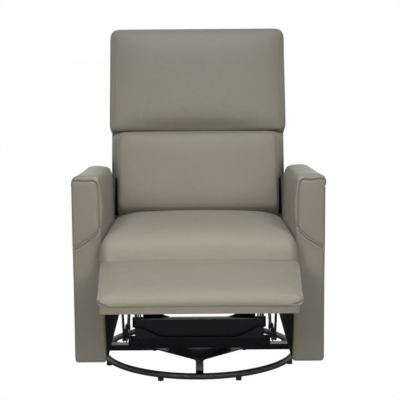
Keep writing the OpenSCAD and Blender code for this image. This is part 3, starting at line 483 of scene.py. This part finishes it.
def back_cushion(name, low, high, rim, low_end, top_end, depth, crown):
    """Makes a back cushion lying flat and rounds it, and gives its block's points and held ones."""
    piece = block(name, low, high, (0.013, 0.013, 0.0135))
    base = points_of(piece)
    count = len(base)
    # Radii: rim is what the sides gain towards the face, low_end and top_end are those at the
    # two ends, and depth gives the face's own at its lower and its upper end
    deep = np.clip(-base[:, 2] / -low[2], 0, 1)
    side_r = rim * (1 - deep) ** 1.5 + 0.018
    middle = (low[1] + high[1]) / 2
    upper = step(base[:, 1], low[1] + 0.06, high[1] - 0.06)
    near = np.column_stack((side_r, np.full(count, low_end), np.full(count, 0.014)))
    far = np.column_stack((side_r, np.full(count, top_end),
                           depth[0] + (depth[1] - depth[0]) * upper))
    shaped = rounded(base, low, high, near, far)
    across = shaped[:, 0] / high[0]
    along = (shaped[:, 1] - middle) / (high[1] - middle)
    lift = np.clip(1 - across ** 2, 0, 1) * np.clip(1 - along ** 4, 0, 1) * (1 - deep)
    shaped[:, 2] += crown * lift
    put_points(piece, shaped)
    front = base[:, 2] > -1e-5
    edge = ((np.abs(np.abs(base[:, 0]) - high[0]) < 1e-4)
            | (np.abs(base[:, 1] - middle) > high[1] - middle - 1e-4))
    return piece, base, front & edge | (base[:, 2] < -0.6 * max(depth))


def curved(path, rounds=3):
    """Rounds the corners of a path by cutting them again and again."""
    path = np.asarray(path, float)
    for _ in range(rounds):
        cut = np.empty((2 * len(path) - 2, 3))
        cut[0::2] = 0.75 * path[:-1] + 0.25 * path[1:]
        cut[1::2] = 0.25 * path[:-1] + 0.75 * path[1:]
        path = np.vstack((path[:1], cut, path[-1:]))
    return path


def round_frame(left, right, low, high, corner, depth, turns=range(0, 91, 15), between=()):
    """A closed path round a panel with rounded corners, with points along its sides if asked."""
    rounds = []
    for x, y, start in ((right, high, 0), (left, high, 90), (left, low, 180), (right, low, 270)):
        middle = (x - math.copysign(corner, x - (left + right) / 2),
                  y - math.copysign(corner, y - (low + high) / 2))
        angles = [math.radians(start + turn) for turn in turns]
        rounds.append([(middle[0] + corner * math.cos(angle), middle[1] + corner * math.sin(angle),
                        depth) for angle in angles])
    path = []
    for here, after in zip(rounds, rounds[1:] + rounds[:1]):
        path += here
        path += [tuple(a * (1 - s) + b * s for a, b in zip(here[-1], after[0])) for s in between]
    return path + path[:1]


def stood(path):
    """Carries a path from the back's own axes to its place."""
    return [tuple(on_back @ Vector(point)) for point in path]


# One lockstitch of heavy polyester thread: a rounded dash that lies half in the leather. The
# twist of its plies is drawn at 0.35 mm.
bpy.ops.object.select_all(action="DESELECT")
bpy.ops.mesh.primitive_uv_sphere_add(segments=8, ring_count=6, radius=1.0)
dash = bpy.context.object
dash.name = "stitch_pattern"
bpy.ops.object.shade_smooth()
thread, tree, shader, place = start_material(
    "Polyester thread, bonded taupe", {"Base Color": linear("#7d796e"), "Roughness": 0.55}
)
twist = add(tree, "ShaderNodeTexWave", {"Scale": 900.0, "Distortion": 1.0}, {"Vector": place})
bump = add(tree, "ShaderNodeBump", {"Strength": 0.3, "Distance": 0.0003},
           {"Height": twist.outputs[0]})
tree.links.new(bump.outputs[0], shader.inputs["Normal"])


def stitches(name, piece, path, toward, body, pitch=0.006):
    """Sews a row of stitches into a cover along a path."""
    points, normals = on_cover(piece, spaced(path, pitch), toward)
    made = []
    for point, normal, way in zip(points, normals, np.gradient(points, axis=0)):
        x, z = Vector(way).normalized(), Vector(normal)
        turn = Matrix((x, z.cross(x), z)).transposed().to_4x4()
        copy = bpy.data.objects.new(name, dash.data.copy())
        size = Matrix.Diagonal((0.38 * pitch, 0.0007, 0.0006, 1))
        copy.data.transform(Matrix.Translation(point) @ turn @ size)
        bpy.context.collection.objects.link(copy)
        made.append(copy)
    bpy.ops.object.select_all(action="DESELECT")
    for copy in made:
        copy.select_set(True)
    bpy.context.view_layer.objects.active = made[0]
    bpy.ops.object.join()
    row = bpy.context.object
    row.name = row.data.name = name
    row.data.materials.clear()
    row.data.materials.append(thread)
    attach(row, body)


lumbar_low, lumbar_high = Vector((-0.287, -0.002, -0.108)), Vector((0.287, 0.274, 0.0))
lumbar, base, held = back_cushion(
    "lumbar_cushion_cover", lumbar_low, lumbar_high, 0.0, 0.020, 0.012, (0.024, 0.016), 0.010)
face = base[:, 2] > -1e-5
inflate(lumbar, held, 4.0, np.where(face, 0.005, 0.003))
ease(lumbar, face, 6)
# The front panel has round corners. Outside it the gussets slant back: straight back between
# the arms, where they are pulled in, and outwards above them.
panel_half, panel_low, panel_high, panel_corner = 0.2365, 0.036, 0.240, 0.027
gusset_slant, gusset_x, gusset_pull = 1.2, 0.2645, 0.85
shaped = points_of(lumbar)
width = np.abs(shaped[:, 0])
past_end = np.maximum(shaped[:, 1] - panel_high, 0) + np.maximum(panel_low - shaped[:, 1], 0)
outside = np.hypot(np.maximum(width - panel_half, 0), past_end) - panel_corner
shaped[:, 2] -= gusset_slant * np.maximum(outside, 0) * step(shaped[:, 2], -0.09, -0.02)
between_arms = 1 - step(shaped[:, 1], 0.125, 0.185)
narrow = 1 - gusset_pull * between_arms * step(shaped[:, 2], -0.104, -0.080)
pulled_in = np.where(width > gusset_x, gusset_x + (width - gusset_x) * narrow, width)
shaped[:, 0] = np.copysign(pulled_in, shaped[:, 0])
put_points(lumbar, shaped)
lumbar.data.transform(on_back)
finish_soft(lumbar, "back", 0.7, "lumbar_cushion")
for x in (-0.2625, 0.2625):
    edge = curved([(x, 0.016, ahead), (x, 0.12, ahead), (x, 0.245, ahead),
                   (x * 0.975, 0.260, ahead), (x * 0.93, 0.2655, ahead)])
    edge, _ = on_cover(lumbar, stood(edge), into_back)
    draw_in(lumbar, edge, 0.0028, 0.0020, 2)
inside = stood(round_frame(-0.2570, 0.2570, 0.015, 0.257, 0.021, ahead))
inside, _ = on_cover(lumbar, inside, into_back)
stitches("lumbar_topstitch", lumbar, inside, into_back, "back")
# A black sheet closes the side of the back where it sits between the arms. It is painted shade: it
# stands in for the deep shadow in the gap between the back and the arm.
for side, word in both_sides:
    shade_sheet = lining("back_gap_shade_sheet_" + word, (0.2600, -0.0010, -0.0712), (0.2785, 0.1480, -0.0700),
                    side, "back", lambda points: np.column_stack((
                        side * points[:, 0], points[:, 1],
                        points[:, 2] - 0.030 * step(points[:, 1], 0.09, 0.15))))
    shade_sheet.data.transform(on_back)

head_low, head_high = Vector((-0.294, 0.2735, -0.108)), Vector((0.294, 0.628, 0.0))
head, base, held = back_cushion(
    "head_cushion_cover", head_low, head_high, 0.018, 0.010, 0.026, (0.016, 0.026), 0.012)
inflate(head, held, 4.0, 0.004)
ease(head, base[:, 2] > -1e-5, 12)
# The middle of the lower edge is pulled back against the lumbar cushion
pull, pull_y, pull_height = 0.010, 0.276, 0.020
shaped = points_of(head)
pulled = (np.exp(-((shaped[:, 1] - pull_y) / pull_height) ** 2)
          * (1 - step(np.abs(shaped[:, 0]), 0.05, 0.24)))
shaped[:, 2] -= pull * pulled * step(shaped[:, 2], -0.03, 0.0)
put_points(head, shaped)
head.data.transform(on_back)
finish_soft(head, "back", 0.7, "head_cushion")
for x in (-0.279, 0.279):
    edge = curved([(x, 0.275, ahead), (x, 0.45, ahead), (x, 0.590, ahead),
                   (x * 0.97, 0.612, ahead)])
    edge, _ = on_cover(head, stood(edge), into_back)
    draw_in(head, edge, 0.0026, 0.0010, 2)
# Short folds fan up from the pulled edge
for x, low, high, bow in ((-0.18, 0.30, 0.36, 0.01), (0.09, 0.295, 0.35, -0.008),
                          (0.19, 0.305, 0.37, 0.008), (-0.05, 0.30, 0.335, 0.004)):
    fold = [(x + bow * s * s, low + (high - low) * s, ahead) for s in np.linspace(0, 1, 9)]
    fold, _ = on_cover(head, stood(fold), into_back)
    draw_in(head, fold, 0.008, 0.0008)

# Rear of the back. A padded panel over the timber frame, and the strip of cover that wraps the
# frame's edges between the panel and the cushions. Both are stapled on under their hems.
cover_low, cover_high = Vector((-0.294, -0.024, -0.158)), Vector((0.294, 0.628, -0.1340))
behind = -0.17
cover = block("back_rear_cover_padded", cover_low, cover_high, (0.016, 0.016, 0.012))
base = points_of(cover)
put_points(cover, rounded(base, cover_low, cover_high, (0.03, 0.03, 0.014), (0.03, 0.03, 0.006)))
inflate(cover, base[:, 2] > -0.1574, 3.0, 0.007)
cover.data.transform(on_back)
finish_soft(cover, "back", 0.5, "back_rear_cover")
hem = stood(round_frame(-0.276, 0.276, -0.006, 0.610, 0.03, behind))
hem, _ = on_cover(cover, hem, -into_back)
draw_in(cover, hem, 0.003, 0.0025, 2)
hem = stood(round_frame(-0.270, 0.270, 0.0, 0.604, 0.024, behind))
hem, _ = on_cover(cover, hem, -into_back)
stitches("rear_topstitch", cover, hem, -into_back, "back", 0.007)


def strip(name, path, low, high, thick, place, body, node):
    """Wraps a strip of cover round a frame's edge: the path is drawn up, thickened and eased."""
    bpy.ops.object.select_all(action="DESELECT")
    closed = path[0] == path[-1]
    count = len(path) - 1 if closed else len(path)
    bpy.ops.mesh.primitive_circle_add(vertices=count, radius=0.1)
    piece = bpy.context.object
    piece.name = piece.data.name = name
    for vertex, point in zip(piece.data.vertices, path):
        vertex.co = (point[0], point[1], low)
    piece.matrix_world = Matrix.Identity(4)
    bpy.ops.object.mode_set(mode="EDIT")
    bpy.ops.mesh.select_mode(type="EDGE")
    if not closed:
        bpy.ops.mesh.select_all(action="DESELECT")
        bpy.ops.object.mode_set(mode="OBJECT")
        for edge in piece.data.edges:
            edge.select = set(edge.vertices) == {0, count - 1}
        bpy.ops.object.mode_set(mode="EDIT")
        bpy.ops.mesh.delete(type="EDGE")
    bpy.ops.mesh.select_all(action="SELECT")
    rise = (0, 0, (high - low) / 4)
    for _ in range(4):
        bpy.ops.mesh.extrude_region_move(TRANSFORM_OT_translate={"value": rise})
    bpy.ops.object.mode_set(mode="OBJECT")
    for kind, values in (("SOLIDIFY", {"thickness": thick, "offset": 0.0}),
                         ("BEVEL", {"width": 0.0009, "segments": 2, "limit_method": "ANGLE"})):
        change = piece.modifiers.new(kind.title(), kind)
        for key, value in values.items():
            setattr(change, key, value)
        bpy.ops.object.modifier_apply(modifier=change.name)
    bpy.ops.object.mode_set(mode="EDIT")
    bpy.ops.mesh.select_all(action="SELECT")
    bpy.ops.mesh.normals_make_consistent(inside=False)
    bpy.ops.object.mode_set(mode="OBJECT")
    piece.data.transform(place)
    finish_soft(piece, body, 0.1, node)


# The strip starts above the arms' rear ends and runs up one side, over the top and down again
half, top, foot, turn = 0.2895, 0.6140, 0.036, 0.02
path = [(half, foot), (half, 0.2), (half, 0.4), (half, top - turn)]
path += [(half - turn + turn * math.cos(a), top - turn + turn * math.sin(a))
         for a in np.linspace(0.2, 1.37, 6)]
path += [(half - turn, top), (half / 2, top)]
path += [(0.0, top)] + [(-x, y) for x, y in reversed(path)]
strip("back_border_cover", path, -0.1333, -0.0985, 0.003, on_back, "back", "back_border")

# Arms. Foam and faux leather over a timber core. One crowned sheet covers the top and runs down
# the inner face. The front panel is let into it, and slanting, double-stitched seams join the
# upper panel to the lower one.
arm_low, arm_high = Vector((0.283, -0.421, 0.093)), Vector((0.369, 0.140, 0.650))
arm_mid, arm_half, arm_crown = 0.326, 0.043, 0.004
outer_x, arm_wide, front_y, seam_y = 0.369, 0.086, -0.420, -0.43
# The top falls 34 mm over the arm's depth, and the inner face leans 9 mm towards the seat at
# its foot
top_fall = 0.034 / 0.560
lean, lean_top, lean_height = 0.009, 0.638, 0.538
rear_bend = (0.010, 0.520)


def on_front(side, outline):
    """Puts outline points of an arm's front, as (x, z), just before the left or right arm."""
    return [(side * x, seam_y + axis_y, z) for x, z in outline]


for side, word in both_sides:
    arm = block("arm_cover_padded_" + word, arm_low, arm_high, (0.0084, 0.0135, 0.0122))
    base = points_of(arm)
    count = len(base)
    # Radii at the inner, front and lower sides, then at the outer, rear and upper ones. Those at
    # the inner, front and outer sides grow towards the top
    high = step(base[:, 2], 0.585, 0.640)
    near = np.column_stack((0.007 + 0.004 * high, 0.007 + 0.009 * high, np.full(count, 0.005)))
    far = np.column_stack((0.007 + 0.013 * high, np.full(count, 0.012), np.full(count, 0.018)))
    shaped = rounded(base, arm_low, arm_high, near, far)
    # The top turns down to the rear in a wide bend
    corner = shaped - np.array([0, *rear_bend])
    bend = (corner[:, 1] > 0) & (corner[:, 2] > 0)
    level = np.maximum(corner[:, 1], corner[:, 2])
    length = np.maximum(np.hypot(corner[:, 1], corner[:, 2]), 1e-9)
    for axis in (1, 2):
        shaped[:, axis] = np.where(
            bend, rear_bend[axis - 1] + corner[:, axis] / length * level, shaped[:, axis])
    across = (shaped[:, 0] - arm_mid) / arm_half
    shaped[:, 2] += arm_crown * np.clip(1 - across ** 2, 0, 1) * step(shaped[:, 2], 0.60, 0.64)
    # The inner front edge bows out between the seat and the top, where the cover is gathered
    bow = (np.sin(np.pi * np.clip((shaped[:, 2] - 0.492) / 0.132, 0, 1))
           * (1 - step(shaped[:, 1], -0.416, -0.395)))
    shaped[:, 0] -= 0.0065 * bow * (1 - step(shaped[:, 0], 0.284, 0.298))
    # The sheet over the top stands out past the outer face, more so on the right arm
    lip_out = 0.0008 if side < 0 else 0.0030
    lip = step(shaped[:, 2], 0.612, 0.622) * (1 - step(shaped[:, 1], -0.08, 0.0))
    shaped[:, 0] += lip_out * lip * step(shaped[:, 0], 0.350, 0.3665)
    lean_in = lean * (lean_top - shaped[:, 2]) / lean_height * (outer_x - shaped[:, 0]) / arm_wide
    drop = top_fall * (shaped[:, 1] - front_y) * np.clip((shaped[:, 2] - 0.3) / 0.3, 0, 1)
    # Below the slanting seam the front panel lies a little further back
    below = 1 - step(shaped[:, 2] + 0.55 * (shaped[:, 0] - 0.283), 0.462, 0.492)
    back_set = 0.004 * (shaped[:, 1] < -0.40) * below
    put_points(arm, np.column_stack((
        side * (shaped[:, 0] - lean_in), shaped[:, 1] + back_set + axis_y, shaped[:, 2] - drop)))
    if side < 0:
        arm.data.flip_normals()
    inner = base[:, 0] < arm_low[0] + 1e-4
    crest = base[:, 2] > arm_high[2] - 1e-4
    edges = sum((np.abs(base[:, k] - arm_low[k]) < 1e-4).astype(int)
                + (np.abs(base[:, k] - arm_high[k]) < 1e-4) for k in range(3))
    inflate(arm, (edges > 1) & ~crest | (base[:, 2] < 0.094), 2.0,
            np.where(inner, 0.0012, np.where(crest, 0.003, 0.0025)), 12)
    finish_soft(arm, "chassis", 0.4, "arm_cover_" + word, "arm_pad_" + word)

    # Seam along the top, round the inner corner and down to the seat
    wave = [(x, 0.6365 + 0.0018 * math.sin(130 * x)) for x in np.linspace(0.372, 0.312, 14)]
    seam = on_front(side, wave[2:] + [
        (0.303, 0.6375), (0.2945, 0.6310), (0.2905, 0.6190), (0.2895, 0.595), (0.2890, 0.57),
        (0.2890, 0.54), (0.2885, 0.515), (0.2865, 0.498)])
    seam, _ = on_cover(arm, spaced(curved(seam, 2), 0.003), (0, 1, 0))
    draw_in(arm, seam, 0.0022, 0.0052, 2)
    # Seam under the overhanging lip of the outer face
    under_lip = [(side * 0.39, y + axis_y, 0.6165 - top_fall * (y - front_y))
                 for y in np.linspace(-0.415, -0.03, 60)]
    under_lip, _ = on_cover(arm, under_lip, (-side, 0, 0))
    draw_in(arm, under_lip, 0.0026, 0.0016 if side < 0 else 0.0034, 2)
    # Slanting seam between the upper and the lower front panel, sewn twice
    slant = curved(on_front(side, [
        (0.2862, 0.500), (0.289, 0.487), (0.300, 0.474), (0.320, 0.4585), (0.340, 0.4455),
        (0.360, 0.434)]), 2)
    slant, _ = on_cover(arm, spaced(slant, 0.003), (0, 1, 0))
    draw_in(arm, slant, 0.0026, 0.0034, 2)
    for name, lift in (("upper", 0.0036), ("lower", -0.0036)):
        row = [(point[0] + side * 0.4 * lift, point[1], point[2] + lift) for point in slant[4:-2]]
        stitches("arm_stitches_%s_%s" % (name, word), arm, row, (0, 1, 0), "chassis")
    # The panel's side of that seam is pressed flat by the second row
    flat = [(point[0] + side * 0.003, point[1], point[2] + 0.0062) for point in slant[3:]]
    draw_in(arm, flat, 0.0022, 0.0026, 1)

    # Black lining under the seat line on the arm's inner face, stapled to the timber
    lining("arm_lining_" + word, (-0.0012, -0.405, 0.106), (0.0, 0.130, 0.352), side, "chassis",
           lambda points: np.column_stack((
               side * (0.2814 - lean * (lean_top - points[:, 2]) / lean_height + points[:, 0]),
               points[:, 1] + axis_y, points[:, 2])))
bpy.data.objects.remove(dash)

# Footrest. A board with a foam pad whose cover rolls over its front edge, and a flat strip of
# cover round the board's edge. It carries on from the seat when it is open.
foot_slope, foot_rear_y, foot_rear_z = 4.5, -0.507, 0.420
on_foot = (Matrix.Translation((0, foot_rear_y + axis_y, foot_rear_z))
           @ Matrix.Rotation(math.radians(foot_slope), 4, "X"))
foot_half, foot_mid = 0.271, 0.171
foot_low, foot_high = Vector((-foot_half, -0.342, -0.027)), Vector((foot_half, -0.001, 0.0))
foot_crown, roll_drop, rear_widening, foot_shift = 0.009, 0.009, 0.055, 0.002
rest = block("footrest_pad_cover", foot_low, foot_high, (0.013, 0.013, 0.009))
base = points_of(rest)
shaped = rounded(base, foot_low, foot_high, (0.018, 0.020, 0.018), (0.014, 0.006, 0.009))
across, along = shaped[:, 0] / foot_half, (shaped[:, 1] + foot_mid) / foot_mid
crown = np.clip(1 - across ** 4, 0, 1) * np.clip(1 - along ** 6, 0, 1)
shaped[:, 2] += foot_crown * crown * (base[:, 2] > -0.01)
# The front roll hangs down over the strip, and the pad widens towards the seat
shaped[:, 2] -= roll_drop * step(-shaped[:, 1], 0.330, 0.340) * step(-shaped[:, 2], 0.006, 0.020)
wider = 1 + rear_widening * step(shaped[:, 1], -0.33, 0.0)
shaped[:, 0] = shaped[:, 0] * wider + foot_shift
put_points(rest, shaped)
rear = base[:, 1] > foot_high[1] - 1e-4
inflate(rest, base[:, 2] < -0.0265, 4.0, np.where(rear, 0.001, 0.006))
ease(rest, (base[:, 2] > -1e-4) & (base[:, 1] < -0.02), 8)
rest.data.transform(on_foot)
finish_soft(rest, "footrest", 0.7, "footrest_pad")
into_foot = on_foot.to_3x3() @ Vector((0, 0, -1))
for x in (-1, 1):
    edge = [tuple(on_foot @ Vector((x * (0.259 + 0.012 * s), -0.325 + 0.315 * s, 0.03)))
            for s in np.linspace(0, 1, 60)]
    edge, _ = on_cover(rest, edge, into_foot)
    draw_in(rest, edge, 0.0028, 0.0016, 2)
# Tucked folds at the two front corners
for x in (-1, 1):
    tuck = [tuple(on_foot @ Vector((x * out, -0.37, up)))
            for out, up in ((0.242, -0.0235), (0.252, -0.0215), (0.262, -0.016))]
    tuck, _ = on_cover(rest, spaced(tuck, 0.002), on_foot.to_3x3() @ Vector((0, 1, 0)))
    draw_in(rest, tuck, 0.0030, 0.0060, 2)
# The strip of cover is folded round the board's edge
board = round_frame(-0.2575, 0.2575, -0.3315, -0.0105, 0.008, 0.0, (0, 30, 60, 90),
                    (0.25, 0.5, 0.75))
strip("footrest_facing_cover", board, -0.0480, -0.0205, 0.003, on_foot, "footrest",
      "footrest_facing")

# Floor, light and camera. A plain pale floor that shows white to the camera and keeps a faint
# shadow, a large soft lamp overhead, two gridded lamps that cross from the front, and the
# long lens at the photograph's angle.
bpy.ops.object.select_all(action="DESELECT")
bpy.ops.mesh.primitive_plane_add(size=60.0, location=(0, 0, 0))
floor = bpy.context.object
floor.name = "floor"
pale, tree, shader, place = start_material(
    "Studio floor, white", {"Base Color": linear("#f4f4f4"), "Roughness": 0.9}
)
white = add(tree, "ShaderNodeEmission", {"Color": (1, 1, 1, 1), "Strength": 1.0})
rays = add(tree, "ShaderNodeLightPath")
seen = add(tree, "ShaderNodeMath", {"operation": "MULTIPLY", 1: 0.99},
           {0: rays.outputs["Is Camera Ray"]})
mixed = add(tree, "ShaderNodeMixShader", None,
            {0: seen.outputs[0], 1: shader.outputs[0], 2: white.outputs[0]})
tree.links.new(mixed.outputs[0], tree.nodes["Material Output"].inputs["Surface"])
floor.data.materials.append(pale)

world = bpy.data.worlds.new("Studio")
bpy.context.scene.world = world
world.use_nodes = True
tree = world.node_tree
tree.nodes.clear()
rays = add(tree, "ShaderNodeLightPath")
shiny = add(tree, "ShaderNodeMath", {"operation": "MAXIMUM"},
            {0: rays.outputs["Is Camera Ray"], 1: rays.outputs["Is Glossy Ray"]})
seen = add(tree, "ShaderNodeMath", {"operation": "MAXIMUM"},
           {0: shiny.outputs[0], 1: rays.outputs["Is Transmission Ray"]})
level = add(tree, "ShaderNodeMapRange", {"To Min": 0.17, "To Max": 1.0}, {"Value": seen.outputs[0]})
sky = add(tree, "ShaderNodeBackground", {"Color": (1, 1, 1, 1)}, {"Strength": level.outputs[0]})
add(tree, "ShaderNodeOutputWorld", None, {"Surface": sky.outputs[0]})

for name, place, goal, size, power, spread in (
    ("overhead", (0.0, -0.9, 3.0), (0.0, 0.0, 0.5), 1.6, 34.0, 180),
    ("cross_left", (-0.85, -2.5, 1.5), (0.36, -0.19, 0.42), 0.8, 1.55, 40),
    ("cross_right", (0.85, -2.5, 1.5), (-0.36, -0.19, 0.42), 0.8, 1.60, 40),
):
    lamp = bpy.data.lights.new(name, "AREA")
    lamp.size = size
    lamp.energy = power
    lamp.spread = math.radians(spread)
    holder = bpy.data.objects.new(name, lamp)
    bpy.context.collection.objects.link(holder)
    holder.location = place
    holder.rotation_euler = (Vector(goal) - Vector(place)).to_track_quat("-Z", "Y").to_euler()

distance, height, down, roll_over = 3.4, 1.10, 8.7, -0.45
lens = bpy.data.cameras.new("camera")
camera = bpy.data.objects.new("camera", lens)
bpy.context.collection.objects.link(camera)
camera.matrix_world = (Matrix.Translation((-0.003, front_y - distance + axis_y, height))
                       @ Matrix.Rotation(math.radians(90 - down), 4, "X")
                       @ Matrix.Rotation(math.radians(roll_over), 4, "Z"))
lens.lens = 107.1
lens.sensor_width = 36.0
lens.shift_x = 0.0066
bpy.context.scene.camera = camera
bpy.context.scene.view_settings.view_transform = "Standard"
